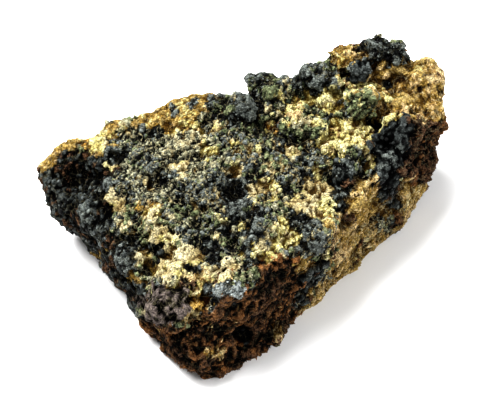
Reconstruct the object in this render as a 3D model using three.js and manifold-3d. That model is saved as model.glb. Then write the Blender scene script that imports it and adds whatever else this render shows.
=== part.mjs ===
// A hand specimen of epidote and magnetite: one wedge-shaped piece of skarn rock, about 100 mm long.
// Its upper side is a knobbly crust of intergrown magnetite with epidote between the grains. Its matrix
// of ochre iron oxide shows along the back edge, at the narrow end and on the broken front faces.
// Everything grew together, so the specimen is a single solid. Units are millimetres and +Z is up.
// The long back edge runs along X, and the rock lies on its flattest broken side, on the plane z = 0.

import * as THREE from "three";
import { ImprovedNoise } from "three/addons/math/ImprovedNoise.js";
import { mergeVertices } from "three/addons/utils/BufferGeometryUtils.js";
import Module from "manifold-3d";

// ---- Driving dimensions ----

const CROWN = new THREE.Vector3(1, 2, 30.5); // the middle of the upper side
const BASE_MIDDLE = new THREE.Vector3(4, 1, 0); // the middle of the resting side
const BODY_DETAIL = 12; // how often each edge of the body's icosahedron is divided
const BODY_DRAW = 1.3; // how far its corners are drawn towards the two long ends
const RIM_SHARE = 0.12; // the height on the unit sphere that becomes the rim
const FOOT_SHARE = -0.74; // and the one that becomes the foot
const OUTLINE_START = 0.638; // the turn at which the outline's first station lies
const BELLY = 1; // how far the walls swell between foot and rim
const FOOT_ROUNDING = 1; // how far the foot draws in under the walls

// Long swells and coarse lumps all over the rock.
const SWELL = { wavelength: 22, height: 1.6 };
const LUMP = { wavelength: 8, height: 2.4 };
// Domed grains of the crust on the upper side, and the blockier grain of the broken walls.
const CRUST_GRAIN = { size: 6, height: 3 };
const WALL_GRAIN = { size: 7.5, height: 2 };
const LEDGE = { rise: 7.5, depth: 0.8 }; // steps up the walls, where the rock broke along its layers
const BASE_HOLLOW = 1.6; // depth of the hollows in the resting side

// The outline, going anticlockwise from the front corner as seen from above. rim is where the upper
// side turns over into a wall, and foot is where that wall meets the plane that the rock lies on.
const OUTLINE = [
  { rim: [-26, -28.5, 22], foot: [-26, -32] },
  { rim: [-17, -28.5, 26], foot: [-18, -31.5] },
  { rim: [-7, -26, 28], foot: [-9, -30.5] },
  { rim: [4, -24.5, 28], foot: [-1.3, -25.3] },
  { rim: [11, -23.5, 27.5], foot: [5.5, -23] },
  { rim: [16, -20.5, 27.5], foot: [12.6, -18.8] },
  { rim: [23, -16.5, 28], foot: [21.6, -15.6] },
  { rim: [33, -10, 28.5], foot: [31, -11] },
  { rim: [42, -4.5, 29], foot: [39.4, -8.5] },
  { rim: [51.5, -1, 28.5], foot: [45.6, -1.4] },
  { rim: [56.2, 6.2, 29.5], foot: [50.4, 6.2] },
  { rim: [56.5, 12, 31], foot: [50, 15] },
  { rim: [50.5, 18.5, 32.5], foot: [43, 20] },
  { rim: [42, 22.5, 31.5], foot: [34, 22] },
  { rim: [34, 22.5, 30.5], foot: [26, 21] },
  { rim: [24, 22.5, 29.5], foot: [17, 21] },
  { rim: [7, 25.4, 29.3], foot: [5, 22] },
  { rim: [-2, 29, 30.3], foot: [-5, 25] },
  { rim: [-11, 30.4, 29.2], foot: [-14, 25] },
  { rim: [-20, 29.8, 28], foot: [-23, 25] },
  { rim: [-29, 28.9, 24.4], foot: [-31, 26] },
  { rim: [-38, 31, 23.5], foot: [-38, 25] },
  { rim: [-46, 28.5, 20.5], foot: [-38, 21] },
  { rim: [-44, 22, 18], foot: [-36.5, 15] },
  { rim: [-40, 13, 20], foot: [-35.5, 8] },
  { rim: [-37.5, 4, 22], foot: [-33.5, -2] },
  { rim: [-35.5, -8, 21.5], foot: [-33.5, -12] },
  { rim: [-33.5, -18, 20], foot: [-31.5, -21.5] },
];

// Knobs of intergrown magnetite that stand out of the crust, and one hump of ochre.
const KNOBS = [
  { name: "back knob", at: [14.6, 22, 30.4], radius: 5.8 },
  { name: "back knob, left", at: [5.5, 18.5, 30], radius: 5 },
  { name: "shoulder", at: [27.4, 19.2, 31.6], radius: 5.6 },
  { name: "crest", at: [37, 16.5, 33], radius: 4.2 },
  { name: "summit", at: [43, 21, 32.8], radius: 5.2 },
  { name: "summit, right", at: [47.6, 18.4, 33.2], radius: 4 },
  { name: "ochre hump", at: [35.6, 22.4, 32], radius: 5.2 },
  { name: "green block", at: [32.2, 7.2, 31.5], radius: 5.4 },
  { name: "right block", at: [38, -3.7, 30], radius: 6 },
  { name: "right block, low", at: [35.5, -8.5, 23], radius: 5 },
  { name: "middle block", at: [24.5, -4.7, 31], radius: 4.8 },
  { name: "middle block, low", at: [20.5, -10.2, 30], radius: 4.8 },
  { name: "edge knob", at: [6.2, -22.8, 28.5], radius: 4.8 },
  { name: "edge knob, lower", at: [8, -23.5, 19], radius: 4.2 },
  { name: "grey block", at: [-18, -28.2, 27], radius: 4.8 },
  { name: "front knob", at: [-30, -22.5, 20.5], radius: 7.5 },
  { name: "left knob", at: [-34.5, -7.2, 21.5], radius: 4.6 },
  { name: "left tip", at: [-40.4, 20.4, 15.6], radius: 4.4 },
  { name: "ridge", at: [14.2, 8.2, 31], radius: 4.2 },
  { name: "ridge, right", at: [19.2, 4.8, 31], radius: 3.8 },
  { name: "foot lump", at: [-7, -29, 3.8], radius: 3.6 },
];

const LARGE_LUMP = 3.6; // lumps with a larger radius than this have more faces

// Hollows where softer rock has weathered out.
const DENTS = [
  { name: "under the crest", at: [42, 13, 31], radius: 4, depth: 2 },
  { name: "beside the green block", at: [38, 4, 30], radius: 4, depth: 2 },
  { name: "front face", at: [-14.5, -30, 12], radius: 4.5, depth: 2.5 },
  { name: "left gully", at: [-31, 20, 26], radius: 6, depth: 2.5 },
  { name: "left gully, outer", at: [-38, 21, 21], radius: 4, depth: 1.5 },
  { name: "middle gully", at: [-3, -5, 30], radius: 5, depth: 1.8 },
  { name: "lower gully", at: [-17, -15, 28], radius: 5.5, depth: 2 },
  { name: "end notch", at: [54, 3, 19], radius: 6, depth: 2 },
  { name: "front wall, right", at: [27, -16, 6], radius: 5, depth: 2 },
  { name: "back wall", at: [10, 24, 14], radius: 8, depth: 2.5 },
];

// Magnetite crystals, crowded over the granular part of the upper side.
const CRYSTALS = { count: 36, smallest: 1.7, largest: 3, middle: [-2, 0], reach: [42, 27] };

const COLOURS = { crust: 0x3c3f3a };

// ---- Shape helpers ----

const noise = new ImprovedNoise();
const wasm = await Module();
wasm.setup();

/** The same numbers between 0 and 1 on every run: item i of a row of them. */
function scatter(i, salt) {
  const x = Math.sin(i * 127.1 + salt * 311.7) * 43758.5453;
  return x - Math.floor(x);
}

/** Smooth waves through space, in millimetres. */
function waves(p, { wavelength, height }, offset = 0) {
  return height * noise.noise(p.x / wavelength + offset, p.y / wavelength, p.z / wavelength);
}

/** Rounded grains packed side by side, which stand out at their middles and dip between, in mm. */
function grains(p, { size, height }) {
  const cell = p.clone().divideScalar(size);
  const corner = cell.clone().floor();
  let nearest = 4;
  for (let i = 0; i < 27; i++) {
    const x = corner.x + (i % 3) - 1;
    const y = corner.y + (Math.floor(i / 3) % 3) - 1;
    const z = corner.z + Math.floor(i / 9) - 1;
    const id = x * 7 + y * 57 + z * 113;
    const seed = new THREE.Vector3(x + scatter(id, 11), y + scatter(id, 12), z + scatter(id, 13));
    nearest = Math.min(nearest, seed.distanceToSquared(cell));
  }
  return height * (Math.max(0, 1 - 1.8 * nearest) - 0.4);
}

/** How deep the hollows reach in at a point, in millimetres. */
function dents(p) {
  let depth = 0;
  for (const dent of DENTS) {
    const away = p.distanceTo(new THREE.Vector3(...dent.at)) / dent.radius;
    depth += dent.depth * Math.exp(-(away ** 4));
  }
  return depth;
}

/** How far the rock stands out at a point of its body, whose outward direction is n. */
function relief(p, n) {
  const upward = THREE.MathUtils.smoothstep(n.z, 0.1, 0.7);
  const layer = p.z / LEDGE.rise + 1.5 * noise.noise(p.x / 15, p.y / 15, 7);
  const ledge = LEDGE.depth * (layer - Math.floor(layer) - 0.5);
  const wall = grains(p, WALL_GRAIN) + ledge;
  const crust = grains(p, CRUST_GRAIN);
  return waves(p, SWELL) + waves(p, LUMP, 3) + wall * (1 - upward) + crust * upward - dents(p);
}

/** A geometry of nothing but shared vertices and faces. */
function merge(geometry) {
  const bare = new THREE.BufferGeometry().setAttribute("position", geometry.getAttribute("position"));
  if (geometry.index) bare.setIndex(geometry.index);
  return mergeVertices(bare, 1e-4);
}

/** A manifold solid of a closed geometry. */
function solidOf(geometry) {
  const merged = merge(geometry);
  return new wasm.Manifold(
    new wasm.Mesh({
      numProp: 3,
      vertProperties: new Float32Array(merged.attributes.position.array),
      triVerts: new Uint32Array(merged.index.array),
    }),
  );
}

/** A three.js geometry of a manifold solid. */
function geometryOf(solid) {
  const mesh = solid.getMesh();
  const geometry = new THREE.BufferGeometry();
  geometry.setAttribute("position", new THREE.BufferAttribute(new Float32Array(mesh.vertProperties), 3));
  geometry.setIndex(new THREE.BufferAttribute(new Uint32Array(mesh.triVerts), 1));
  return geometry;
}

/** The outermost shell of a solid: small spaces that are closed in on all sides are filled. */
function outerShell(solid) {
  const geometry = geometryOf(solid);
  const index = geometry.index.array;
  // Every vertex points to another one of its shell, until one that points to itself.
  const next = Array.from({ length: geometry.getAttribute("position").count }, (_, i) => i);
  function leader(i) {
    let last = i;
    while (next[last] !== last) last = next[last];
    next[i] = last;
    return last;
  }
  for (let i = 0; i < index.length; i += 3) {
    next[leader(index[i + 1])] = leader(index[i]);
    next[leader(index[i + 2])] = leader(index[i]);
  }
  const sizes = new Map();
  for (const i of index) sizes.set(leader(i), (sizes.get(leader(i)) ?? 0) + 1);
  const [outermost] = [...sizes].sort((a, b) => b[1] - a[1])[0];
  geometry.setIndex([...index].filter((i) => leader(i) === outermost));
  return merge(geometry.toNonIndexed());
}

// ---- The body of the rock ----

/** A smooth closed line through one point of every station. */
function closedCurve(points) {
  return new THREE.CatmullRomCurve3(points, true, "centripetal");
}

const rim = closedCurve(OUTLINE.map((station) => new THREE.Vector3(...station.rim)));
const foot = closedCurve(OUTLINE.map((station) => new THREE.Vector3(...station.foot, 0)));

/** Where a direction from the middle of a unit sphere comes out on the rock, before its relief. */
function bodyPoint(direction) {
  const turn = Math.atan2(direction.y, direction.x) / (2 * Math.PI) - OUTLINE_START;
  const along = rim.getUtoTmapping(((turn % 1) + 1) % 1);
  const rimPoint = rim.getPoint(along);
  const footPoint = foot.getPoint(along);
  if (direction.z > RIM_SHARE) {
    const out = Math.sqrt((1 - direction.z) / (1 - RIM_SHARE));
    const p = CROWN.clone().lerp(rimPoint, out);
    p.z = CROWN.z + (rimPoint.z - CROWN.z) * out ** 3;
    return p;
  }
  if (direction.z > FOOT_SHARE) {
    const up = (direction.z - FOOT_SHARE) / (RIM_SHARE - FOOT_SHARE);
    const p = footPoint.lerp(rimPoint, up);
    const swell = BELLY * Math.sin(Math.PI * up) - FOOT_ROUNDING * (1 - up) ** 6;
    const outward = new THREE.Vector3(p.x - CROWN.x, p.y - CROWN.y, 0).normalize();
    return p.addScaledVector(outward, swell);
  }
  const out = Math.sqrt((1 + direction.z) / (1 + FOOT_SHARE));
  return BASE_MIDDLE.clone().lerp(footPoint, out * (1 - FOOT_ROUNDING / 30));
}

/** The body, roughened all over, with its resting side kept on the plane z = 0. */
function bodyGeometry() {
  const geometry = merge(new THREE.IcosahedronGeometry(1, BODY_DETAIL));
  const position = geometry.getAttribute("position");
  const p = new THREE.Vector3();
  for (let i = 0; i < position.count; i++) {
    p.fromBufferAttribute(position, i);
    p.x *= BODY_DRAW;
    p.copy(bodyPoint(p.normalize()));
    position.setXYZ(i, p.x, p.y, p.z);
  }
  geometry.computeVertexNormals();
  const normal = geometry.getAttribute("normal");
  const n = new THREE.Vector3();
  for (let i = 0; i < position.count; i++) {
    p.fromBufferAttribute(position, i);
    n.fromBufferAttribute(normal, i);
    if (p.z < 1e-3) {
      p.z = Math.max(0, waves(p, { ...LUMP, height: BASE_HOLLOW }, 50));
    } else {
      p.addScaledVector(n, relief(p, n));
      p.z = Math.max(p.z, 0);
    }
    position.setXYZ(i, p.x, p.y, p.z);
  }
  return geometry;
}

// ---- Knobs and crystals ----

/** A rough, many-sided lump about a point. */
function lumpGeometry(at, radius) {
  const geometry = merge(new THREE.IcosahedronGeometry(radius, radius > LARGE_LUMP ? 1 : 0));
  const position = geometry.getAttribute("position");
  const p = new THREE.Vector3();
  for (let i = 0; i < position.count; i++) {
    p.fromBufferAttribute(position, i);
    const rough = noise.noise(p.x / 2 + at.x, p.y / 2 + at.y, p.z / 2 + at.z);
    p.multiplyScalar(1 + 0.4 * rough).add(at);
    position.setXYZ(i, p.x, p.y, p.z);
  }
  return geometry;
}

/** An octahedral crystal about a point, turned its own way by its number. */
function crystalGeometry(at, size, number) {
  const octahedron = new THREE.OctahedronGeometry(size, 0);
  octahedron.rotateX(Math.PI * scatter(number, 4));
  octahedron.rotateZ(Math.PI * scatter(number, 5));
  octahedron.translate(at.x, at.y, at.z);
  return octahedron;
}

/** A knob is one lump with crystals grown out of it on every side. */
function knobGeometries({ at, radius }, number) {
  const middle = new THREE.Vector3(...at);
  const pieces = [lumpGeometry(middle, 0.8 * radius)];
  const count = Math.round(0.8 * radius);
  for (let i = 0; i < count; i++) {
    const turn = 2 * Math.PI * ((i + 0.6 * scatter(number, i)) / count);
    const tilt = 0.1 + 1.1 * scatter(number + 40, i);
    const bud = new THREE.Vector3(Math.cos(turn), Math.sin(turn), tilt).setLength(0.62 * radius);
    const size = radius * (0.42 + 0.16 * scatter(number + 80, i));
    pieces.push(crystalGeometry(bud.add(middle), size, 10 * number + i));
  }
  return pieces;
}

/** Crystals on the upper side, each half sunk in the surface below it. */
function crustCrystals(surface) {
  const down = new THREE.Vector3(0, 0, -1);
  const found = [];
  for (let i = 0; i < CRYSTALS.count; i++) {
    const turn = 2 * Math.PI * scatter(i, 1);
    const out = Math.sqrt(scatter(i, 2));
    const x = CRYSTALS.middle[0] + CRYSTALS.reach[0] * out * Math.cos(turn);
    const y = CRYSTALS.middle[1] + CRYSTALS.reach[1] * out * Math.sin(turn);
    const hit = new THREE.Raycaster(new THREE.Vector3(x, y, 100), down).intersectObject(surface)[0];
    if (!hit || hit.point.z < 20) continue;
    const size = CRYSTALS.smallest + (CRYSTALS.largest - CRYSTALS.smallest) * scatter(i, 3) ** 2;
    found.push(crystalGeometry(hit.point, size, i));
  }
  return found;
}

function specimenGeometry() {
  let solid = solidOf(bodyGeometry());
  for (const piece of KNOBS.flatMap(knobGeometries)) solid = solid.add(solidOf(piece));
  const surface = new THREE.Mesh(geometryOf(solid));
  for (const crystal of crustCrystals(surface)) solid = solid.add(solidOf(crystal));
  return outerShell(solid);
}

// ---- The part ----

const geometry = specimenGeometry();
geometry.computeBoundingBox();
const middle = geometry.boundingBox.getCenter(new THREE.Vector3());
geometry.translate(-middle.x, -middle.y, 0); // the origin is the middle of the base

const specimen = new THREE.Mesh(
  geometry,
  new THREE.MeshStandardMaterial({ color: COLOURS.crust, roughness: 0.75, metalness: 0.1 }),
);
specimen.name = "specimen";

const part = new THREE.Group();
part.add(specimen);

export default part;
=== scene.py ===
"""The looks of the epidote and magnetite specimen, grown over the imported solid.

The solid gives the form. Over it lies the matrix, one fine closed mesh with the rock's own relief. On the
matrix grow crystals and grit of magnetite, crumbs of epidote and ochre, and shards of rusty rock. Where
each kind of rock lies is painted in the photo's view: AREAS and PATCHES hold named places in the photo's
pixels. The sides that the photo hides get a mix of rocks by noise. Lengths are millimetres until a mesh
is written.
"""

import math  # noqa: E402
from collections import namedtuple  # noqa: E402

import bmesh  # noqa: E402
import bpy  # noqa: E402
import numpy as np  # noqa: E402
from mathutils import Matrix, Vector  # noqa: E402


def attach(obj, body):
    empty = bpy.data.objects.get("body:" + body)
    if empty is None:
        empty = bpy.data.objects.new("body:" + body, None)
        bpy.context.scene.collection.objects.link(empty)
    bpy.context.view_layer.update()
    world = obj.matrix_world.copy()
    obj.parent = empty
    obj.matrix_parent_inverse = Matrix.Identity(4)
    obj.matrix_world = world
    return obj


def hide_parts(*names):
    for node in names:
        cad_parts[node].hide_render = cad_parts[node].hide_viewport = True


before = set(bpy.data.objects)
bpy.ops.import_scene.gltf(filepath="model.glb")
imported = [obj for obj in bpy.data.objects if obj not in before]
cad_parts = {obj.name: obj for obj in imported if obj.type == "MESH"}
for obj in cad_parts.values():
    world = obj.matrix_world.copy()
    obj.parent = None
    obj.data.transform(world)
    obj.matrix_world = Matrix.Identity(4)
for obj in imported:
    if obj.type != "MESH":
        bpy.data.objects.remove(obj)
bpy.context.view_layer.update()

MM = 0.001  # a millimetre in Blender's metres

# ---- The photo's view ----

AZIMUTH, ELEVATION = math.radians(-24), math.radians(50)
DISTANCE = 450.0
TARGET = np.array([-6.2, 0.8, 16.0])
PHOTO_SIZE = np.array([500, 418])
PX_PER_MM = 4.1  # at the target
SENSOR_MM = 36.0

BACK = np.array(
    [
        math.sin(AZIMUTH) * math.cos(ELEVATION),
        -math.cos(AZIMUTH) * math.cos(ELEVATION),
        math.sin(ELEVATION),
    ]
)
RIGHT = np.array([math.cos(AZIMUTH), math.sin(AZIMUTH), 0.0])
UP = np.cross(BACK, RIGHT)
EYE = TARGET + DISTANCE * BACK

# ---- Where each kind of rock lies ----

# Areas in the photo, each a polygon of (u, v) corners in its pixels. They are painted in this order, so
# that a later one covers an earlier one. What is left bare is crust.
AREAS = [
    ("grey", [
        (105, 150), (140, 118), (205, 112), (240, 150), (200, 200), (150, 205), (110, 190),
    ]),
    # The left flank: black crystals, painted darker still as painted shade.
    ("dark", [
        (30, 160), (70, 148), (122, 150), (108, 190), (112, 234), (140, 244), (140, 282), (128, 295),
        (20, 230),
    ]),
    ("ochre", [
        (36, 170), (40, 150), (60, 132), (84, 124), (120, 116), (122, 140), (114, 150), (98, 154),
        (80, 143), (62, 152), (55, 168), (46, 174),
    ]),
    ("ochre", [
        (128, 126), (144, 104), (168, 92), (192, 82), (238, 78), (232, 98), (212, 98), (208, 112),
        (198, 118), (196, 128), (168, 130), (150, 125),
    ]),
    ("ochre", [
        (322, 58), (336, 40), (368, 42), (372, 60), (350, 64), (345, 80), (338, 72), (336, 62),
    ]),
    ("ochre", [
        (372, 62), (405, 56), (425, 48), (455, 65), (455, 100), (443, 118), (430, 122), (405, 118),
        (392, 118), (375, 122), (372, 95), (350, 90), (345, 80), (372, 80),
    ]),
    ("tan", [
        (352, 176), (376, 178), (385, 185), (400, 176), (424, 180), (445, 180), (425, 205), (405, 245),
        (372, 255), (362, 280), (320, 312), (292, 330), (303, 306), (326, 282), (331, 258), (333, 243),
        (334, 222), (337, 200),
    ]),
    ("umber", [
        (410, 120), (450, 108), (450, 182), (425, 182), (400, 174), (405, 150),
    ]),
    ("rust", [
        (120, 300), (140, 318), (190, 330), (212, 302), (246, 287), (262, 262), (303, 252), (308, 265),
        (297, 300), (300, 322), (283, 356), (205, 395), (140, 350),
    ]),
    ("dark", [
        (312, 262), (328, 256), (321, 284), (300, 309), (297, 300),
    ]),
    ("ochre", [
        (300, 318), (318, 297), (345, 274), (366, 257), (374, 262), (350, 292), (318, 316), (296, 332),
    ]),
    ("ochre", [
        (299, 257), (314, 262), (306, 281), (300, 275),
    ]),
]
# Smaller patches, painted over the areas in this order: ellipses of (u, v, half width, half height).
PATCHES = {
    "magnetite": [
        (261, 90, 25, 22), (240, 112, 22, 13), (316, 76, 24, 20), (300, 92, 12, 10), (383, 49, 22, 13),
        (401, 54, 12, 9), (342, 198, 9, 18), (314, 243, 16, 12), (175, 113, 5, 6), (193, 103, 6, 5),
        (214, 101, 8, 8), (388, 84, 6, 3), (130, 262, 14, 12), (250, 252, 10, 14), (300, 215, 12, 10),
        (288, 186, 8, 8), (236, 195, 12, 16), (250, 216, 13, 9), (256, 232, 12, 7), (231, 216, 9, 8),
        (226, 232, 9, 6), (115, 152, 13, 8), (212, 250, 10, 9), (309, 222, 8, 6), (305, 160, 8, 10),
        (194, 265, 7, 5), (175, 262, 4, 3), (245, 118, 15, 8), (250, 168, 12, 5),
    ],
    # Shaded magnetite: magnetite painted darker, as painted shade on knobs and in a deep hollow.
    "shaded_magnetite": [
        (243, 334, 7, 5), (361, 70, 13, 12), (392, 128, 23, 12), (388, 152, 20, 19), (342, 172, 13, 15),
        (388, 180, 14, 14),
    ],
    "olive": [
        (264, 88, 17, 12), (303, 93, 9, 9), (321, 67, 14, 8), (357, 105, 18, 14), (350, 151, 14, 10),
        (334, 125, 8, 6), (312, 108, 8, 6), (225, 107, 10, 8), (289, 136, 18, 10), (312, 134, 10, 8),
        (263, 127, 10, 6), (286, 151, 6, 5),
    ],
    "cream": [
        (155, 214, 17, 9), (166, 213, 7, 6), (120, 205, 7, 11), (124, 221, 8, 4), (164, 236, 20, 9),
        (180, 252, 24, 11), (148, 256, 8, 10), (165, 270, 18, 10), (190, 284, 15, 7), (232, 262, 11, 9),
        (218, 274, 20, 9), (206, 290, 7, 8), (182, 168, 8, 5), (236, 170, 9, 7), (318, 190, 15, 11),
        (300, 205, 14, 8), (312, 212, 7, 5), (110, 166, 7, 3), (254, 190, 8, 8), (292, 154, 8, 9),
        (270, 112, 4, 7), (219, 124, 8, 8), (372, 228, 3, 9), (366, 243, 3, 6), (204, 146, 5, 4),
        (148, 182, 7, 4), (113, 194, 4, 9), (215, 240, 10, 3),
    ],
    "yellow": [
        (324, 96, 10, 6), (311, 92, 5, 5), (347, 131, 27, 12), (330, 149, 13, 11), (364, 150, 6, 14),
        (369, 166, 6, 7), (326, 206, 8, 13), (271, 188, 10, 8), (265, 253, 14, 8), (284, 236, 12, 16),
        (296, 112, 9, 11), (313, 99, 9, 7), (338, 92, 8, 11), (326, 107, 9, 6), (270, 127, 4, 4),
        (100, 140, 7, 12), (190, 129, 20, 6), (212, 153, 8, 4), (205, 143, 5, 4), (316, 174, 6, 8),
        (350, 83, 11, 5), (368, 87, 12, 4), (318, 124, 8, 5), (244, 250, 4, 5), (381, 118, 6, 4),
        (386, 95, 8, 4), (371, 121, 7, 4), (345, 82, 5, 8), (233, 142, 6, 4), (256, 148, 7, 5),
        (259, 131, 5, 3), (292, 154, 5, 7), (300, 104, 10, 7), (345, 133, 20, 8), (394, 116, 8, 3),
        (391, 98, 9, 3), (351, 49, 8, 3), (338, 51, 4, 4),
    ],
    "tan": [
        (448, 90, 8, 26), (434, 73, 13, 13), (415, 88, 5, 4), (430, 112, 14, 7), (214, 356, 8, 5),
        (279, 335, 6, 9),
    ],
    "dark": [
        (126, 243, 13, 8), (133, 300, 9, 22), (390, 196, 10, 12), (399, 206, 8, 6), (157, 249, 8, 5),
    ],
    "umber": [
        (358, 240, 2, 8), (354, 258, 2, 5), (185, 287, 9, 4), (351, 187, 6, 5), (349, 218, 7, 4),
        (398, 219, 6, 8),
    ],
    "grey": [
        (386, 222, 7, 7), (197, 226, 14, 12),
    ],
    "ochre": [
        (364, 203, 13, 17), (135, 278, 6, 4), (96, 255, 6, 4), (328, 229, 6, 9), (150, 206, 12, 3),
    ],
    "amber": [
        (199, 302, 11, 9), (270, 128, 4, 4), (86, 140, 4, 5),
    ],
    "ember": [
        (268, 266, 15, 3), (287, 257, 13, 3), (238, 341, 5, 4),
    ],
    "speckled": [
        (196, 321, 13, 11),
    ],
    "purple": [
        (165, 303, 27, 21),
    ],
    "slate": [
        (227, 291, 20, 11),
    ],
}
# Soft hollows in the matrix, as (u, v, radius in pixels, depth in millimetres). One of less than no depth
# is a swell.
HOLLOWS = [
    (384, 71, 9, -1.3), (399, 67, 8, -1.3), (385, 107, 8, 0.6), (399, 109, 4, 0.6),
    (408, 106, 12, -1.2), (243, 334, 9, 2.6), (236, 192, 10, 1.0), (360, 175, 7, 1.6),
    (235, 248, 9, 1.6), (100, 192, 9, 0.8), (78, 186, 12, 0.8), (255, 176, 10, 1.6), (348, 226, 6, 1.2),
    (425, 55, 15, -1.2), (341, 87, 9, -1.2), (352, 84, 7, -0.8), (375, 92, 9, -0.7),
    (297, 112, 11, -1.1), (378, 36, 6, 0.8), (190, 298, 8, 1.4), (323, 96, 9, -1.0), (196, 225, 6, 1.2),
    (150, 268, 8, 1.5),
]

# ---- Minerals and kinds of rock ----

# A mineral's linear colours in its hollows, as painted shade, on its body, and on its crests, as painted
# highlight.
Mineral = namedtuple("Mineral", "hollow body crest")
MINERALS = {
    "magnetite": Mineral((0.001, 0.001, 0.001), (0.0058, 0.0067, 0.0060), (0.178, 0.196, 0.180)),
    # Shaded magnetite is magnetite painted darker, as painted shade.
    "shaded_magnetite": Mineral((0.001, 0.001, 0.001), (0.0034, 0.0038, 0.0035), (0.098, 0.109, 0.104)),
    "olive": Mineral((0.002, 0.002, 0.001), (0.016, 0.021, 0.010), (0.225, 0.255, 0.140)),
    "ash": Mineral((0.003, 0.003, 0.002), (0.045, 0.047, 0.032), (0.450, 0.440, 0.310)),
    "cream": Mineral((0.110, 0.068, 0.022), (0.58, 0.48, 0.25), (0.74, 0.66, 0.42)),
    "yellow": Mineral((0.170, 0.120, 0.030), (0.68, 0.60, 0.25), (0.81, 0.76, 0.41)),
    "amber": Mineral((0.030, 0.011, 0.002), (0.34, 0.180, 0.032), (0.72, 0.48, 0.15)),
    "ochre": Mineral((0.085, 0.046, 0.010), (0.35, 0.230, 0.062), (0.52, 0.385, 0.150)),
    "tan": Mineral((0.022, 0.010, 0.003), (0.36, 0.235, 0.085), (0.80, 0.62, 0.34)),
    "ember": Mineral((0.008, 0.002, 0.001), (0.085, 0.030, 0.008), (0.320, 0.160, 0.062)),
    "rust": Mineral((0.0008, 0.0004, 0.0002), (0.008, 0.0032, 0.0011), (0.265, 0.135, 0.058)),
    "umber": Mineral((0.001, 0.0007, 0.0005), (0.005, 0.003, 0.0018), (0.150, 0.086, 0.050)),
    "purple": Mineral((0.0015, 0.001, 0.001), (0.012, 0.0098, 0.0090), (0.215, 0.178, 0.162)),
    "slate": Mineral((0.008, 0.009, 0.009), (0.080, 0.092, 0.090), (0.320, 0.350, 0.340)),
}

# A kind of rock: the share of each mineral in it, the mineral of the bed that shows between its grains, how
# strong the pale threads over it are, and how high each sort of relief stands, in millimetres. Lumps, grains
# and crumbs are packed side by side, ridges are hackly, flutes run down a wall, and plates are flat with
# ragged gaps between them.
Rock = namedtuple("Rock", "mix bed thread lump grain crumb ridge flute plate", defaults=[None] + [0] * 7)
ROCKS = {
    "crust": Rock(
        {"magnetite": 0.42, "olive": 0.42, "ash": 0.08, "cream": 0.03, "yellow": 0.05},
        bed="cream", thread=0.7, lump=0.5, grain=0.9, crumb=0.4, ridge=0.3,
    ),
    "grey": Rock(
        {"magnetite": 0.39, "ash": 0.40, "olive": 0.17, "cream": 0.04},
        bed="ash", thread=0.7, lump=0.3, grain=0.8, crumb=0.5, ridge=0.3,
    ),
    # Black crystals and umber, with shaded magnetite as painted shade.
    "dark": Rock(
        {"shaded_magnetite": 0.60, "magnetite": 0.20, "umber": 0.20},
        thread=0.1, lump=0.9, grain=0.5, crumb=0.35, ridge=0.6,
    ),
    "magnetite": Rock(
        {"magnetite": 1.0},
        thread=0.1, lump=1.2, grain=0.3, crumb=0.25, ridge=0.25,
    ),
    # Rock of shaded magnetite, painted darker as painted shade.
    "shaded_magnetite": Rock(
        {"shaded_magnetite": 0.85, "magnetite": 0.15},
        lump=0.8, grain=0.3, crumb=0.15, ridge=0.45,
    ),
    "olive": Rock(
        {"olive": 0.66, "magnetite": 0.30, "yellow": 0.04},
        thread=0.3, lump=1.1, grain=0.3, crumb=0.3, ridge=0.4,
    ),
    "cream": Rock(
        {"cream": 0.80, "yellow": 0.16, "tan": 0.04},
        lump=0.3, grain=0.15, crumb=0.15, ridge=0.25, plate=1.5,
    ),
    "yellow": Rock(
        {"yellow": 0.70, "cream": 0.20, "tan": 0.10},
        lump=0.2, grain=0.45, crumb=0.4, ridge=0.3, plate=0.8,
    ),
    "amber": Rock(
        {"amber": 0.90, "umber": 0.10},
        thread=0.3, lump=0.3, crumb=0.3, ridge=0.6, plate=0.7,
    ),
    "ochre": Rock(
        {"ochre": 0.76, "tan": 0.16, "yellow": 0.08},
        thread=0.3, lump=0.2, crumb=0.35, ridge=0.5, plate=0.4,
    ),
    "tan": Rock(
        {"tan": 0.58, "ochre": 0.30, "cream": 0.05, "umber": 0.07},
        thread=0.45, crumb=0.25, ridge=0.4, flute=1.2, plate=0.5,
    ),
    "rust": Rock(
        {"rust": 0.48, "umber": 0.42, "ember": 0.06, "tan": 0.04},
        thread=0.1, lump=0.7, crumb=0.3, ridge=1.0, plate=0.6,
    ),
    "speckled": Rock(
        {"rust": 0.50, "cream": 0.26, "tan": 0.24},
        thread=0.2, lump=0.3, grain=0.4, crumb=0.5,
    ),
    "umber": Rock(
        {"umber": 0.80, "rust": 0.20},
        thread=0.25, lump=0.7, grain=0.4, crumb=0.5, ridge=1.2,
    ),
    "ember": Rock(
        {"ember": 0.45, "rust": 0.43, "ochre": 0.12},
        lump=0.4, crumb=0.6, ridge=0.8,
    ),
    "purple": Rock(
        {"purple": 1.0},
        thread=0.15, lump=0.4, crumb=0.2, ridge=0.9, plate=0.9,
    ),
    "slate": Rock(
        {"slate": 1.0},
        thread=0.2, lump=0.3, grain=0.2, crumb=0.4, ridge=0.6,
    ),
}
MINERAL_NAMES, ROCK_NAMES = list(MINERALS), list(ROCKS)

# ---- How the kinds of rock are painted ----

# Noise is added up from layers, each with its strength, its size in millimetres and its seed.
PLACES_BENT = [(1.2, 2.6, 1), (0.6, 0.9, 4)]  # makes the edges of areas and patches wander
ELLIPSES_RAGGED = [(0.3, 1.6, 7)]

# On the sides that the photo hides, each rock lies where the mix is above its threshold, and a later one
# covers an earlier one. A side is hidden where it faces the camera less than so much, from -1 to 1.
HIDDEN_BELOW = -0.2
HIDDEN_MIX = [(1, 16, 8), (0.35, 6, 9), (0.15, 2, 10)]
EVERYWHERE = -9  # below any mix
HIDDEN_ROCKS = [("dark", EVERYWHERE), ("umber", -0.4), ("rust", -0.25), ("tan", 0.2), ("ochre", 0.55)]

# ---- The relief ----

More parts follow.
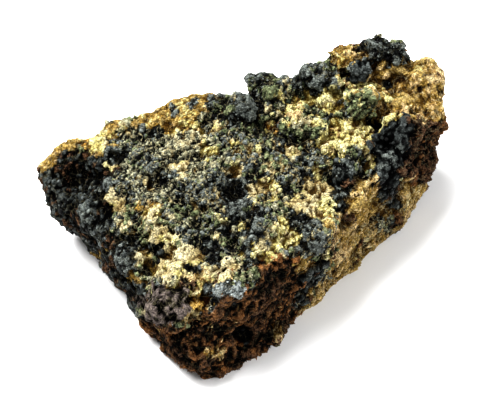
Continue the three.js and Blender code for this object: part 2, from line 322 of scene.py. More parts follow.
VOXEL = 0.51  # the step of the matrix mesh
SMOOTHING_ROUNDS = 7  # of the solid's facets, before the relief
ROOM_FOR_GRAINS = 0.3  # how far the matrix lies below the solid, for the grains that grow on it
LOWEST, HIGHEST = -1.7, 1.3  # how far in and out the relief goes at most
FACES_DOWN = -0.7  # the upward part of the outward direction on the resting side is less than this
RESTING_SIDE = 3  # how high above the floor the resting side reaches
RESTING_RELIEF = 0.1  # the share of the relief that the resting side keeps

# Grains packed side by side: how wide they are, how round, and their seed. A grain's middle is as high as
# "middle" says, its sides fall off for each grain width out of it, and its top is cut off flat. Then its
# height is multiplied by a number of its own, which is the least one or up to "varies" more.
Packing = namedtuple("Packing", "size roundness seed flat_top middle fall least varies")
LUMPS = Packing(3.4, 0.05, 61, flat_top=0.4, middle=1, fall=1.6, least=1, varies=0)
GRAINS = Packing(1.5, 0.1, 31, flat_top=0.75, middle=1.15, fall=2.1, least=0.5, varies=0.9)
CRUMBS = Packing(0.9, 0.1, 41, flat_top=1, middle=1, fall=1.8, least=0.5, varies=1)
GRAINS_BENT = [(0.6, 2.4, 21), (0.3, 1.0, 24)]  # makes the edges of the grains wander

HACKLE = [(0.45, 2.8, 51), (0.5, 1.3, 52)]
HACKLE_MIDDLE = 0.3
RIDGE_LINES = [(1, 1.7, 55)]  # sharp ridges in the hackle, where this noise is at its middle
RIDGE_LINE_HEIGHT = 0.8
FLUTES = [(1, 2.2, 53)]
FLUTE_STRETCH = (1, 1, 0.3)  # draws the flutes out down a wall
FLUTE_DEPTH = 0.5
TORN = [(1, 3.6, 56), (0.7, 1.6, 57), (0.4, 0.8, 58)]
PLATE_STEEPNESS = 1.6  # of the torn edges of the plates
PLATE_MIDDLE = 0.3  # more than none, so that the plates are wider than the gaps
PLATE_LOWEST, PLATE_TOP = -1, 0.25
SWELLS = [(0.35, 5, 54)]

# ---- How the minerals lie and how light they are ----

# Rocks whose mineral changes from crumb to crumb. In the others it changes from grain to grain.
FINE_GRAINED = ["grey", "cream", "yellow", "tan", "ochre", "rust", "umber", "speckled"]
CLUSTERS = [(0.9, 4.5, 75)]  # brings grains of one mineral together

BED = [(1, 4, 71), (0.5, 1.4, 72)]
BED_ABOVE = 0.1  # the bed shows where its noise is above this
BED_FROM = 0.5  # and this far out of a grain's middle, in grain widths
BED_LIGHTER = 0.9  # how much higher its level is

# A point's level says where its colour lies between its mineral's hollow, at -1, body, at 0, and crest, at
# 1. It grows with how far the point stands out of the surface around it, evened out over some rounds, so
# that hollows get painted shade and crests a painted highlight. The flutes add painted light on their
# ridges and painted shade in their grooves, and the mottles add tone that differs at random.
PAINTED_SHADE_BY_RELIEF = [(3.8, 8), (1.3, 60)]  # levels for each millimetre, and rounds
LEVEL_AT_FLAT = -0.22
FLUTE_LEVEL = 0.4
FINE_MOTTLE = [(0.35, 2.2, 73), (0.35, 0.8, 74)]
BROAD_MOTTLE = [(0.4, 7, 76)]
# The crest's colour is a painted highlight.
HIGHLIGHT_POWER = 1.6  # keeps the crest's colour to the highest points


def of_rock(rock, name):
    """One of the facts of ROCKS for each point, by the index of its rock."""
    return np.array([getattr(ROCKS[r], name) for r in ROCK_NAMES])[rock]


# ---- Noise ----

CELL_FACTORS = (73856093, 19349663, 83492791)  # large and odd, to mix the bits of a cell's numbers
SEED_FACTOR = 668265263
MIXING_FACTOR = 1274126177
LOW_31_BITS = 0x7FFFFFFF
LOW_20_BITS = 0xFFFFF


def hashed(cell, seed):
    """A number from 0 to 1 for each whole-numbered cell."""
    x, y, z = (cell.astype(np.int64) * CELL_FACTORS).T
    h = x ^ y ^ z ^ (seed * SEED_FACTOR)
    h = ((h ^ (h >> 13)) & LOW_31_BITS) * MIXING_FACTOR
    h = h ^ (h >> 16)
    return (h & LOW_20_BITS) / LOW_20_BITS


def noise(p, size, seed):
    """Smooth noise from -1 to 1, with lumps about size mm wide."""
    q = p / size
    low = np.floor(q)
    f = q - low
    f = f * f * (3 - 2 * f)
    total = np.zeros(len(p))
    for corner in np.ndindex(2, 2, 2):
        weight = np.prod(np.where(corner, f, 1 - f), axis=1)
        total += weight * hashed(low + corner, seed)
    return 2 * total - 1


def layered(p, layers):
    """Some layers of noise, added up."""
    return sum(strength * noise(p, size, seed) for strength, size, seed in layers)


def bent(p, layers):
    """Points, each shifted by some layers of noise."""
    moved = p
    for strength, size, seed in layers:
        away = np.stack([noise(p, size, seed + k) for k in range(3)], axis=1)
        moved = moved + strength * away
    return moved


# For each point, how far it lies out of its grain's middle, in grain widths, that middle, and a number from
# 0 to 1 for the grain.
Grains = namedtuple("Grains", "out middle number")
FULL_TURN = 6.28  # in radians, near enough
OCTAHEDRON_SIZE = 1.6  # brings an octahedron to about the size of a ball
FARTHEST = 9.0  # more than any grain reaches, in grain widths


def packed(p, packing):
    """The grain of a packing that each point lies in. Each grain has its own turn, and its faces are an
    octahedron's at no roundness and a ball's at 1."""
    q = p / packing.size
    low = np.floor(q)
    nearest = np.full(len(p), FARTHEST)
    number = np.zeros(len(p))
    middle = np.zeros_like(p)
    for offset in np.ndindex(3, 3, 3):
        cell = low + offset - 1
        place = cell + np.stack([hashed(cell, packing.seed + k) for k in range(3)], axis=1)
        away = place - q
        turn = FULL_TURN * np.stack([hashed(cell, packing.seed + k) for k in (3, 4)], axis=1)
        x = away[:, 0] * np.cos(turn[:, 0]) + away[:, 1] * np.sin(turn[:, 0])
        y = away[:, 1] * np.cos(turn[:, 0]) - away[:, 0] * np.sin(turn[:, 0])
        z = away[:, 2] * np.cos(turn[:, 1]) + y * np.sin(turn[:, 1])
        y = y * np.cos(turn[:, 1]) - away[:, 2] * np.sin(turn[:, 1])
        flat = (np.abs(x) + np.abs(y) + np.abs(z)) / OCTAHEDRON_SIZE
        out = (1 - packing.roundness) * flat + packing.roundness * np.linalg.norm(away, axis=1)
        closer = out < nearest
        number = np.where(closer, hashed(cell, packing.seed + 5), number)
        middle = np.where(closer[:, None], place * packing.size, middle)
        nearest = np.minimum(nearest, out)
    return Grains(nearest, middle, number)


def heights(packing, grains):
    """How high a packing stands at each point."""
    own = packing.least + packing.varies * grains.number
    return own * np.minimum(packing.flat_top, packing.middle - packing.fall * grains.out)


# ---- Painting the kinds of rock ----


def in_photo(p):
    """Where points show in the photo, in its pixels."""
    away = p - EYE
    depth = -(away @ BACK)
    scale = PX_PER_MM * DISTANCE / depth
    u = PHOTO_SIZE[0] / 2 + scale * (away @ RIGHT)
    v = PHOTO_SIZE[1] / 2 - scale * (away @ UP)
    return np.stack([u, v], axis=1)


def in_polygon(uv, corners):
    """Which points lie in a polygon."""
    inside = np.zeros(len(uv), bool)
    for (u0, v0), (u1, v1) in zip(corners, corners[1:] + corners[:1]):
        if v0 == v1:
            continue
        crosses = (uv[:, 1] > v0) != (uv[:, 1] > v1)
        u_there = u0 + (uv[:, 1] - v0) / (v1 - v0) * (u1 - u0)
        inside ^= crosses & (uv[:, 0] < u_there)
    return inside


def in_ellipse(uv, ellipse, slack):
    """Which points lie in an ellipse whose edge is ragged by the slack at each point."""
    u, v, half_width, half_height = ellipse
    away = ((uv[:, 0] - u) / half_width) ** 2 + ((uv[:, 1] - v) / half_height) ** 2
    return away < 1 + slack


def rocks_at(p, n):
    """The rock at each point, as an index into ROCK_NAMES, by its place and outward direction."""
    rock = np.full(len(p), ROCK_NAMES.index("crust"))
    uv = in_photo(bent(p, PLACES_BENT))
    slack = layered(p, ELLIPSES_RAGGED)
    for name, corners in AREAS:
        rock[in_polygon(uv, corners)] = ROCK_NAMES.index(name)
    for name, ellipses in PATCHES.items():
        for ellipse in ellipses:
            rock[in_ellipse(uv, ellipse, slack)] = ROCK_NAMES.index(name)
    hidden = n @ BACK < HIDDEN_BELOW
    mix = layered(p, HIDDEN_MIX)
    for name, threshold in HIDDEN_ROCKS:
        rock[hidden & (mix > threshold)] = ROCK_NAMES.index(name)
    return rock


# ---- The matrix ----


def mesh_arrays(mesh):
    """A mesh's points in millimetres, and its outward direction at each."""
    points = np.empty(len(mesh.vertices) * 3, np.float32)
    mesh.vertices.foreach_get("co", points)
    normals = np.empty(len(mesh.vertices) * 3, np.float32)
    mesh.vertex_normals.foreach_get("vector", normals)
    return points.reshape(-1, 3).astype(float) / MM, normals.reshape(-1, 3).astype(float)


def evened_out(p, edges, rounds):
    """A mesh's points, evened out along its edges."""
    neighbours = np.zeros(len(p))
    np.add.at(neighbours, edges.ravel(), 1)
    for _ in range(rounds):
        total = np.zeros_like(p)
        np.add.at(total, edges[:, 0], p[edges[:, 1]])
        np.add.at(total, edges[:, 1], p[edges[:, 0]])
        p = (p + total / neighbours[:, None]) / 2
    return p


def convexity(p, n, edges, rounds):
    """How far each point stands out of the surface around it, in millimetres."""
    return ((p - evened_out(p, edges, rounds)) * n).sum(axis=1)


def add_tone(mesh, colours, threads):
    """Gives a mesh the colour that its material shows at each point, and how strong the threads are."""
    tone = mesh.attributes.new("tone", "FLOAT_COLOR", "POINT")
    tone.data.foreach_set("color", np.c_[colours, threads].astype(np.float32).ravel())


def clustered(p, number):
    """Each grain's number from 0 to 1, changed so that grains near each other have numbers alike."""
    mixed = number + layered(p, CLUSTERS)
    ranks = np.empty(len(p))
    ranks[np.argsort(mixed)] = np.linspace(0, 1, len(p))
    return ranks


def minerals_at(rock, number):
    """The mineral of each grain, as an index into MINERAL_NAMES, by its rock and its number from 0 to 1."""
    shares = np.array([[ROCKS[r].mix.get(m, 0.0) for m in MINERAL_NAMES] for r in ROCK_NAMES])
    reach = np.cumsum(shares, axis=1)[rock]
    return np.minimum((number[:, None] > reach).sum(axis=1), len(MINERAL_NAMES) - 1)


def beds_at(rock):
    """The mineral of the bed at each point, as an index into MINERAL_NAMES, or -1 where a rock has none."""
    beds = [ROCKS[r].bed for r in ROCK_NAMES]
    return np.array([MINERAL_NAMES.index(bed) if bed else -1 for bed in beds])[rock]


def colours_of(mineral, level):
    """Linear colours, from a mineral's hollows at level -1, in painted shade, over its body at 0 to its
    crests at 1, in painted highlight.
    """
    shaded_hollow, body, lit_crest = (np.array([MINERALS[m][k] for m in MINERAL_NAMES])[mineral] for k in range(3))
    up = np.clip(level, 0, 1)[:, None] ** HIGHLIGHT_POWER
    down = np.clip(-level, 0, 1)[:, None]
    return body + up * (lit_crest - body) + down * (shaded_hollow - body)


def drop_specks(mesh):
    """Takes off what the remesh left apart from the rock."""
    shell = bmesh.new()
    shell.from_mesh(mesh)
    first = max(shell.verts, key=lambda vertex: vertex.co.x)  # the tip of the rock's narrow end
    rock = {first}
    to_visit = [first]
    while to_visit:
        vertex = to_visit.pop()
        around = {edge.other_vert(vertex) for edge in vertex.link_edges}
        to_visit.extend(around - rock)
        rock |= around
    bmesh.ops.delete(shell, geom=[v for v in shell.verts if v not in rock], context="VERTS")
    shell.to_mesh(mesh)
    shell.free()


def move_points(mesh, p):
    """Puts a mesh's points in new places, given in millimetres."""
    mesh.vertices.foreach_set("co", (p * MM).ravel())
    mesh.update()


def fine_surface():
    """The solid as one fine closed mesh with its facets smoothed, and the edges of that mesh."""
    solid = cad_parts["specimen"]
    source = bpy.data.objects.new("source", solid.data.copy())
    bpy.context.scene.collection.objects.link(source)
    remesh = source.modifiers.new("remesh", "REMESH")
    remesh.mode = "VOXEL"
    remesh.voxel_size = VOXEL * MM
    mesh = bpy.data.meshes.new_from_object(source.evaluated_get(bpy.context.evaluated_depsgraph_get()))
    bpy.data.objects.remove(source)
    mesh.materials.clear()
    drop_specks(mesh)
    edges = np.empty(len(mesh.edges) * 2, np.int32)
    mesh.edges.foreach_get("vertices", edges)
    edges = edges.reshape(-1, 2)
    p, _ = mesh_arrays(mesh)
    move_points(mesh, evened_out(p, edges, SMOOTHING_ROUNDS))
    return mesh, edges


def flutes(p):
    """Noise drawn out down a wall."""
    return layered(p * FLUTE_STRETCH, FLUTES)


def relief(p, n, rock, lumps, grains, crumbs):
    """How far the surface stands out at each point, in millimetres."""
    hackle = layered(p, HACKLE) + HACKLE_MIDDLE - RIDGE_LINE_HEIGHT * np.abs(layered(p, RIDGE_LINES))
    plate = np.clip(PLATE_STEEPNESS * layered(p, TORN) + PLATE_MIDDLE, PLATE_LOWEST, PLATE_TOP)
    height = of_rock(rock, "lump") * heights(LUMPS, lumps)
    height += of_rock(rock, "grain") * heights(GRAINS, grains)
    height += of_rock(rock, "crumb") * heights(CRUMBS, crumbs)
    height += of_rock(rock, "ridge") * hackle + of_rock(rock, "flute") * FLUTE_DEPTH * flutes(p)
    height += of_rock(rock, "plate") * plate
    height = np.clip(height, LOWEST, HIGHEST) + layered(p, SWELLS) - ROOM_FOR_GRAINS
    uv = in_photo(p)
    seen = n @ BACK > 0
    for u, v, radius, depth in HOLLOWS:
        away = np.hypot(uv[:, 0] - u, uv[:, 1] - v) / radius
        height -= np.where(seen, depth * np.exp(-(away**4)), 0)
    resting = (n[:, 2] < FACES_DOWN) & (p[:, 2] < RESTING_SIDE)
    return np.where(resting, RESTING_RELIEF * height, height)


def matrix_mesh():
    """The rock itself: the solid's fine surface, roughened and coloured as each kind of rock is, with
    painted shade in its hollows and painted highlight on its crests. Its minerals and levels at each point
    come with it."""
    mesh, edges = fine_surface()
    p, n = mesh_arrays(mesh)
    places = bent(p, GRAINS_BENT)
    lumps = packed(places, LUMPS)
    grains = packed(places, GRAINS)
    crumbs = packed(places, CRUMBS)
    rock = rocks_at(grains.middle, n)
    moved = p + n * relief(p, n, rock, lumps, grains, crumbs)[:, None]
    moved[:, 2] = np.maximum(moved[:, 2], 0)
    move_points(mesh, moved)

    fine_grained = np.isin(rock, [ROCK_NAMES.index(r) for r in FINE_GRAINED])
    mineral = minerals_at(rock, clustered(p, np.where(fine_grained, crumbs.number, grains.number)))
    bed = beds_at(rock)
    in_bed = (bed >= 0) & (grains.out > BED_FROM) & (layered(p, BED) > BED_ABOVE)
    mineral = np.where(in_bed, bed, mineral)
    # Painted shade and highlight: the level falls in the hollows of the relief and rises on its crests.
    level = sum(gain * convexity(moved, n, edges, rounds) for gain, rounds in PAINTED_SHADE_BY_RELIEF) + LEVEL_AT_FLAT
    level += layered(p, FINE_MOTTLE) + FLUTE_LEVEL * of_rock(rock, "flute") * flutes(p)
    level += layered(p, BROAD_MOTTLE) + np.where(in_bed, BED_LIGHTER, 0)
    add_tone(mesh, colours_of(mineral, level), of_rock(rock, "thread"))
    print("matrix", len(mesh.polygons), "faces")
    return mesh, mineral, level


# ---- Materials ----

SPECK = 0.36  # how wide the finest specks are
SPECK_NOISE = (0.32, 0.68)  # the part of the noise that goes from dark to light
CRACKED = 1.3  # how far apart the finest cracks are
CRACK_WIDTH = 0.14  # as a share of that
# Cracks are darkened as painted shade.
CRACK_SHADE = 0.4  # what is left of the colour in a crack
THREADS = 2.0  # how far apart the pale threads are
NOISE_MIDDLE = 0.5
THREAD_EDGE = (0.015, 0.045)  # where a thread fades, in the noise's distance from its middle
THREAD_COLOUR = (0.50, 0.45, 0.28, 1)
BUMP = 0.35  # how deep the bump of specks and cracks is


def add_node(material, kind, inputs, **settings):
    """A node in a material, with its settings and the values of its inputs."""
    node = material.node_tree.nodes.new("ShaderNode" + kind)
    for name, value in settings.items():
        setattr(node, name, value)
    for name, value in inputs.items():
        node.inputs[name].default_value = value
    return node


def map_range(material, value, from_range, to_range):
    """A value carried over from one range to another, and held at its ends."""
    names = ("From Min", "From Max", "To Min", "To Max")
    node = add_node(material, "MapRange", dict(zip(names, (*from_range, *to_range))))
    material.node_tree.links.new(value, node.inputs["Value"])
    return node.outputs["Result"]


def product(material, first, second):
    """Two values multiplied."""
    node = add_node(material, "Math", {}, operation="MULTIPLY")
    material.node_tree.links.new(first, node.inputs[0])
    material.node_tree.links.new(second, node.inputs[1])
    return node.outputs["Value"]


def shaded_cracks(material, place, grain):
    """What is left of the colour: all of it, and less in a net of fine cracks that the grain bends, as
    painted shade where the bump sinks them.
    """
    link = material.node_tree.links.new
    bend = add_node(material, "VectorMath", {1: (CRACKED * MM,) * 3}, operation="MULTIPLY_ADD")
    link(grain.outputs["Color"], bend.inputs[0])
    link(place, bend.inputs[2])
    cracks = add_node(material, "TexVoronoi", {"Scale": 1 / (CRACKED * MM)}, feature="DISTANCE_TO_EDGE")
    link(bend.outputs["Vector"], cracks.inputs["Vector"])
    return map_range(material, cracks.outputs["Distance"], (0, CRACK_WIDTH), (CRACK_SHADE, 1))


def pale_threads(material, place):
    """How much of the threads shows: all of it along thin lines, where a noise is at its middle."""
    link = material.node_tree.links.new
    bands = add_node(material, "TexNoise", {"Scale": 1 / (THREADS * MM), "Detail": 2, "Distortion": 0.5})
    link(place, bands.inputs["Vector"])
    off_middle = add_node(material, "Math", {1: NOISE_MIDDLE}, operation="SUBTRACT")
    link(bands.outputs["Fac"], off_middle.inputs[0])
    away = add_node(material, "Math", {}, operation="ABSOLUTE")
    link(off_middle.outputs["Value"], away.inputs[0])
    return map_range(material, away.outputs["Value"], THREAD_EDGE, (1, 0))


def rock_material(name, roughness, speck, bump, shine):
    """A rock whose colour comes from its mesh's tone, with finer specks, cracks and threads than its mesh
    has. The speck says how much lighter or darker the specks are, and the tone's alpha how strong the
    threads are. The specks and cracks are also the bump's height, so over the specks' own tone they paint
    light where the bump rises and shade where it sinks."""
    material = bpy.data.materials.new(name)
    material.use_nodes = True
    link = material.node_tree.links.new
    tone = add_node(material, "Attribute", {}, attribute_name="tone")
    place = add_node(material, "TexCoord", {}).outputs["Object"]

    grain = add_node(material, "TexNoise", {"Scale": 1 / (SPECK * MM), "Detail": 3, "Roughness": 0.6})
    link(place, grain.inputs["Vector"])
    specks = map_range(material, grain.outputs["Fac"], SPECK_NOISE, (1 - speck, 1 + speck))
    # The same share darkens the colour where the bump sinks and lightens it where it rises: painted shade
    # and light.
    share = product(material, specks, shaded_cracks(material, place, grain))

    threaded = add_node(material, "Mix", {"B": THREAD_COLOUR}, data_type="RGBA")
    link(product(material, pale_threads(material, place), tone.outputs["Alpha"]), threaded.inputs["Factor"])
    link(tone.outputs["Color"], threaded.inputs["A"])
    scaled = add_node(material, "VectorMath", {}, operation="SCALE")
    link(threaded.outputs["Result"], scaled.inputs[0])
    link(share, scaled.inputs["Scale"])

    raised = add_node(material, "Bump", {"Strength": bump, "Distance": BUMP * MM})
    link(share, raised.inputs["Height"])
    shader = material.node_tree.nodes["Principled BSDF"]
    shader.inputs["Roughness"].default_value = roughness
    shader.inputs["Specular IOR Level"].default_value = shine
    link(scaled.outputs["Vector"], shader.inputs["Base Color"])
    link(raised.outputs["Normal"], shader.inputs["Normal"])
    return material


# ---- The shapes of grains ----

# How far out the corners lie, for a grain of one unit in radius.
CRUMB_REACH = (0.8, 1.15)
OCTAHEDRON_REACH = (0.85, 1.25)
CRYSTAL_REACH = (0.85, 1.15)
CRYSTAL_CUT = (0.12, 0.4)  # how much of a crystal's corners is cut off
CRUMB_CORNERS = 7


def hull_shape(points):
    """The convex hull of some points, as corners and triangles."""
    shell = bmesh.new()
    for p in points:
        shell.verts.new(p)
    bmesh.ops.convex_hull(shell, input=shell.verts)
    bmesh.ops.delete(shell, geom=[v for v in shell.verts if not v.link_faces], context="VERTS")
    bmesh.ops.triangulate(shell, faces=shell.faces)
    bmesh.ops.recalc_face_normals(shell, faces=shell.faces)
    shell.verts.index_update()
    corners = np.array([v.co for v in shell.verts])
    triangles = np.array([[v.index for v in f.verts] for f in shell.faces])
    shell.free()
    return corners, triangles


def crumb_shape(rng):
    """A rough angular crumb about one unit in radius."""
    points = rng.normal(size=(CRUMB_CORNERS, 3))
    points /= np.linalg.norm(points, axis=1)[:, None]
    return hull_shape(points * rng.uniform(*CRUMB_REACH, (CRUMB_CORNERS, 1)))


def octahedron_shape(rng):
    """A sharp octahedron, a little uneven."""
    points = np.concatenate([np.eye(3), -np.eye(3)])
    return hull_shape(points * rng.uniform(*OCTAHEDRON_REACH, (len(points), 1)))


def crystal_shape(rng):
    """An octahedron with its corners cut off."""
    cut = rng.uniform(*CRYSTAL_CUT)
    points = []
    for axis in range(3):
        for end in (-1, 1):
            reach = rng.uniform(*CRYSTAL_REACH)
            # Four corners take the place of the one that is cut off.
            for side in range(4):
                point = np.zeros(3)
                point[axis] = end * (reach - cut)
                point[(axis + 1 + side % 2) % 3] = cut * (1 if side < 2 else -1)
                points.append(point)
    return hull_shape(np.array(points))


# ---- Growing the grains ----

CLOSEST = 0.6  # how near two grains of a species may come, in the sum of their radii
SUNK = 0.25  # how deep a grain's middle lies, in its radius
CLEAR_OF_FLOOR = 1.6  # how high above the floor a grain grows at least, in its longest radius
UNEVEN = (0.8, 1.25)  # how far each side of a grain reaches, in its radius
BAKED_REACH = 0.4  # how far a grain reaches from the middle of its cell in the baked map, in cells


class Ground:
    """The matrix as triangles, to strew grains on."""

    def __init__(self, mesh, mineral, level):
        mesh.calc_loop_triangles()
        corners = np.empty(len(mesh.loop_triangles) * 3, np.int32)
        mesh.loop_triangles.foreach_get("vertices", corners)
        self.triangles = corners.reshape(-1, 3)
        self.points, self.normals = mesh_arrays(mesh)
        a, b, c = (self.points[self.triangles[:, k]] for k in range(3))
        self.area = np.linalg.norm(np.cross(b - a, c - a), axis=1) / 2
        self.mineral = mineral
        self.level = level

    def strew(self, rng, per_square_mm):
        """Random spots on the surface, and the outward direction, mineral and level at each."""
        count = int(per_square_mm * self.area.sum())
        face = self.triangles[rng.choice(len(self.area), count, p=self.area / self.area.sum())]
        share = rng.dirichlet((1, 1, 1), count)
        spots = np.einsum("ij,ijk->ik", share, self.points[face])
        normals = np.einsum("ij,ijk->ik", share, self.normals[face])
        normals /= np.linalg.norm(normals, axis=1)[:, None]
        return spots, normals, self.mineral[face[:, 0]], self.level[face[:, 0]]


def apart(spots, radii, closeness):
    """Which spots stay when each keeps clear of the ones before it."""
    cell = 2 * radii.max()
    grid = {}
    kept = []
    around = list(np.ndindex(3, 3, 3))
    for i, (x, y, z) in enumerate(np.floor(spots / cell).astype(int)):
        cells = ((x + dx - 1, y + dy - 1, z + dz - 1) for dx, dy, dz in around)
        near = (j for place in cells for j in grid.get(place, ()))
        if all(((spots[i] - spots[j]) ** 2).sum() > (closeness * (radii[i] + radii[j])) ** 2 for j in near):
            grid.setdefault((x, y, z), []).append(i)
            kept.append(i)
    return np.array(kept)


def turned(rng, count):
    """Random rotations."""
    q = rng.normal(size=(count, 4))
    w, x, y, z = (q / np.linalg.norm(q, axis=1)[:, None]).T
    rows = [
        [1 - 2 * (y * y + z * z), 2 * (x * y - z * w), 2 * (x * z + y * w)],
        [2 * (x * y + z * w), 1 - 2 * (x * x + z * z), 2 * (y * z - x * w)],
        [2 * (x * z - y * w), 2 * (y * z + x * w), 1 - 2 * (x * x + y * y)],
    ]
    return np.array(rows).transpose(2, 0, 1)


def triangle_mesh(name, points, triangles, uvs):
    """A mesh from its points in millimetres, its triangles and each point's place in the baked map."""
    mesh = bpy.data.meshes.new(name)
    mesh.vertices.add(len(points))
    mesh.vertices.foreach_set("co", (points * MM).ravel())
    mesh.loops.add(triangles.size)
    mesh.loops.foreach_set("vertex_index", triangles.ravel())
    mesh.polygons.add(len(triangles))
    mesh.polygons.foreach_set("loop_start", np.arange(0, triangles.size, 3))
    mesh.update(calc_edges=True)
    baked = mesh.uv_layers.new(name="OFBake")
    baked.data.foreach_set("uv", uvs[triangles.ravel()].ravel())
    return mesh


def grain_mesh(name, rng, shapes, middles, radii, colours, stretch):
    """Many grains as one mesh: a shape, a turn, a stretch and a colour for each."""
    pick = rng.integers(len(shapes), size=len(middles))
    turns = turned(rng, len(middles))
    sizes = rng.uniform(*UNEVEN, (len(middles), 3)) * np.array(stretch) * radii[:, None]
    points, triangles, tones, uvs = [], [], [], []
    cells_across = math.ceil(math.sqrt(len(middles)))
    count = 0
    for k, (corners, faces) in enumerate(shapes):
        mine = np.flatnonzero(pick == k)
        if not len(mine):
            continue
        local = np.einsum("nij,nkj->nki", turns[mine], corners[None] * sizes[mine][:, None])
        points.append((middles[mine][:, None] + local).reshape(-1, 3))
        first = count + np.arange(len(mine)) * len(corners)
        triangles.append((first[:, None, None] + faces[None]).reshape(-1, 3))
        tones.append(np.repeat(colours[mine], len(corners), axis=0))
        cell = np.stack([mine % cells_across, mine // cells_across], axis=1) + 0.5
        flat = corners[:, :2] / np.abs(corners[:, :2]).max() * BAKED_REACH
        uvs.append((cell[:, None] + flat[None]).reshape(-1, 2) / cells_across)
        count += len(mine) * len(corners)
    points, triangles, tones, uvs = map(np.concatenate, (points, triangles, tones, uvs))
    mesh = triangle_mesh(name, points, triangles, uvs)
    add_tone(mesh, tones, np.zeros(len(tones)))
    mesh.validate()
    print(name, len(middles), "grains,", len(mesh.polygons), "faces")
    return mesh


# What grows on the matrix. A species stands on the minerals that it names, with at most as many grains to
# the square millimetre as its density, and takes their colours, with the painted shade and highlight of
# their levels, lighter or darker at random by its contrast. A stretch makes shards of it.
Species = namedtuple(
    "Species", "slot minerals roughness shape radius density stretch contrast", defaults=[(1, 1, 1), 0.4]
)
SPECIES = {
    "magnetite_crystals": Species(
        "magnetite", ["magnetite", "shaded_magnetite", "olive"], 0.45, "crystal", radius=(0.4, 0.9), density=0.16,
    ),
    "magnetite_grit": Species(
        "magnetite", ["magnetite", "olive", "ash", "slate"], 0.45, "octahedron",
        radius=(0.13, 0.38), density=4.4, contrast=0.8,
    ),
    "epidote_grit": Species("epidote", ["yellow"], 0.8, "crumb", radius=(0.13, 0.36), density=3.6),
    "ochre_grit": Species(
        "ochre", ["ochre", "amber", "tan"], 0.9, "crumb", radius=(0.13, 0.36), density=2.6,
    ),
    "rust_shards": Species(
        "rust_matrix", ["rust", "umber", "ember"], 0.75, "octahedron",
        radius=(0.14, 0.34), density=2.8, stretch=(0.5, 0.8, 2.2), contrast=1.1,
    ),
}


def grow(name, species, ground, rng, shapes):
    """One species of grain over the whole specimen."""
    spots, normals, mineral, level = ground.strew(rng, species.density)
    small, large = species.radius
    radii = small + (large - small) * rng.random(len(spots)) ** 2
    fits = np.isin(mineral, [MINERAL_NAMES.index(m) for m in species.minerals])
    stays = fits & (spots[:, 2] > max(species.stretch) * CLEAR_OF_FLOOR * radii)
    order = np.flatnonzero(stays)[np.argsort(-radii[stays])]
    order = order[apart(spots[order], radii[order], CLOSEST)]
    # Each grain takes the level of the matrix under it, with its painted shade and highlight, changed at
    # random.
    level = level[order] + species.contrast * rng.normal(size=len(order))
    middles = spots[order] - SUNK * normals[order] * radii[order][:, None]
    colours = colours_of(mineral[order], level)
    return grain_mesh(name, rng, shapes, middles, radii[order], colours, species.stretch)


# ---- The stage ----

FLOOR_REACH = 3.0  # in metres
PAPER_WHITE = (0.9, 0.9, 0.9, 1)
PAPER_ROUGHNESS = 0.9
SKY_WHITE = (1, 1, 1, 1)
SKY_STRENGTH = 0.33
LIGHTS = [  # the name, place and width of each in metres, and its power in watts
    ("key", (-0.2, 0.33, 0.74), 0.6, 18.0),
    ("fill", (0.45, -0.6, 0.5), 0.6, 5.0),
]
CLIP_START = 0.01  # in metres


def make_floor():
    """A plain pale floor."""
    floor_mesh = bpy.data.meshes.new("floor")
    corners = [(x * FLOOR_REACH, y * FLOOR_REACH, 0) for x, y in [(-1, -1), (1, -1), (1, 1), (-1, 1)]]
    floor_mesh.from_pydata(corners, [], [(0, 1, 2, 3)])
    floor = bpy.data.objects.new("floor", floor_mesh)
    bpy.context.scene.collection.objects.link(floor)
    paper = bpy.data.materials.new("paper")
    paper.use_nodes = True
    shader = paper.node_tree.nodes["Principled BSDF"]
    shader.inputs["Base Color"].default_value = PAPER_WHITE
    shader.inputs["Roughness"].default_value = PAPER_ROUGHNESS
    floor_mesh.materials.append(paper)


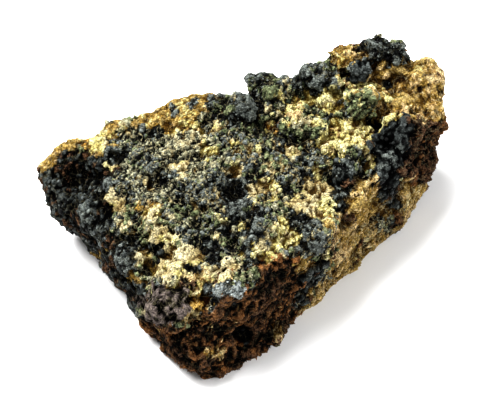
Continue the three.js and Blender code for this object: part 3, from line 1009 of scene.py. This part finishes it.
def make_lights():
    """Soft studio light, the key from above and behind, the fill from the front right."""
    world = bpy.data.worlds.new("studio")
    world.use_nodes = True
    sky = world.node_tree.nodes["Background"]
    sky.inputs["Color"].default_value = SKY_WHITE
    sky.inputs["Strength"].default_value = SKY_STRENGTH
    bpy.context.scene.world = world
    for name, place, width, power in LIGHTS:
        light = bpy.data.lights.new(name, "AREA")
        light.size = width
        light.energy = power
        lamp = bpy.data.objects.new(name, light)
        lamp.location = place
        lamp.rotation_mode = "QUATERNION"
        lamp.rotation_quaternion = (-Vector(place)).to_track_quat("-Z", "Y")
        bpy.context.scene.collection.objects.link(lamp)


def make_camera():
    """A camera where the photo was taken from."""
    camera = bpy.data.cameras.new("camera")
    camera.sensor_width = SENSOR_MM
    camera.lens = PX_PER_MM * DISTANCE / PHOTO_SIZE[0] * SENSOR_MM
    camera.clip_start = CLIP_START
    eye = bpy.data.objects.new("camera", camera)
    eye.location = EYE * MM
    eye.rotation_mode = "QUATERNION"
    eye.rotation_quaternion = Vector(-BACK).to_track_quat("-Z", "Y")
    bpy.context.scene.collection.objects.link(eye)
    bpy.context.scene.camera = eye


# ---- The scene ----


def new_piece(name, mesh, material):
    """A piece of the visual that rides on the specimen."""
    piece = bpy.data.objects.new(name, mesh)
    bpy.context.scene.collection.objects.link(piece)
    mesh.materials.append(material)
    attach(piece, "root")
    return piece


SEED = 7
# The function that makes a grain's shape, and how many shapes of the kind there are.
SHAPES = {"crumb": (crumb_shape, 12), "octahedron": (octahedron_shape, 8), "crystal": (crystal_shape, 10)}

matrix, mineral, level = matrix_mesh()
ground = Ground(matrix, mineral, level)
matrix_material = rock_material("matrix", roughness=0.75, speck=0.7, bump=1.0, shine=0.04)
matrix_piece = new_piece("matrix", matrix, matrix_material)
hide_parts("specimen")

rng = np.random.default_rng(SEED)
shapes = {kind: [make(rng) for _ in range(count)] for kind, (make, count) in SHAPES.items()}
for name, species in SPECIES.items():
    mesh = grow(name, species, ground, rng, shapes[species.shape])
    material = rock_material(name, species.roughness, speck=0.35, bump=0.5, shine=0.2)
    new_piece(name, mesh, material)

make_floor()
make_lights()
make_camera()
bpy.context.scene.view_settings.view_transform = "Standard"
bpy.context.scene.view_settings.look = "High Contrast"
